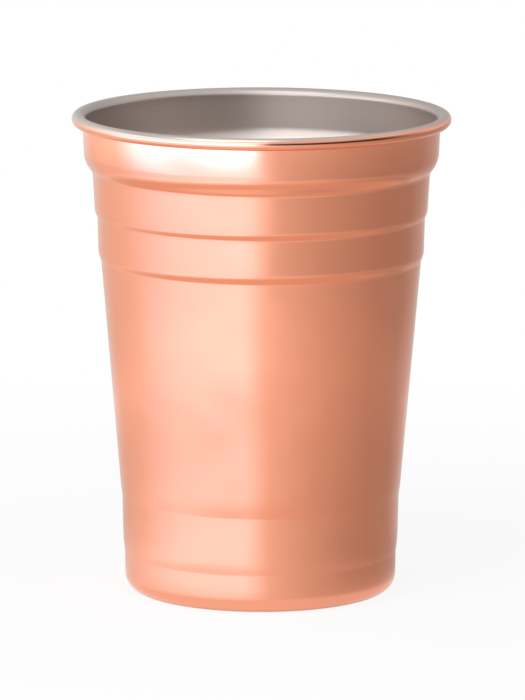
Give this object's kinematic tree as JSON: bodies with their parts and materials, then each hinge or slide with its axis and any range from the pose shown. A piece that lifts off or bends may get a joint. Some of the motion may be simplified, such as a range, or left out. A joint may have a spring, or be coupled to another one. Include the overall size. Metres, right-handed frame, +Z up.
{
  "type": "copper tumbler",
  "caption": "Tapered drinking tumbler with a stepped wall and a rolled rim: a drawn steel cup with a satin inside, in a thin satin copper jacket.",
  "frame": {"origin": "on the table, at the middle of the base", "axes": "+Z up along the tumbler's axis, from the base to the rim; the tumbler is round, so X and Y are free"},
  "size_m": [0.094, 0.094, 0.12],
  "materials": {
    "satin_steel": "satin, drawn and lightly brushed round the wall",
    "satin_copper": null
  },
  "bodies": {
    "root": {"steel_cup": "satin_steel", "copper_jacket": "satin_copper"}
  },
  "joints": []
}
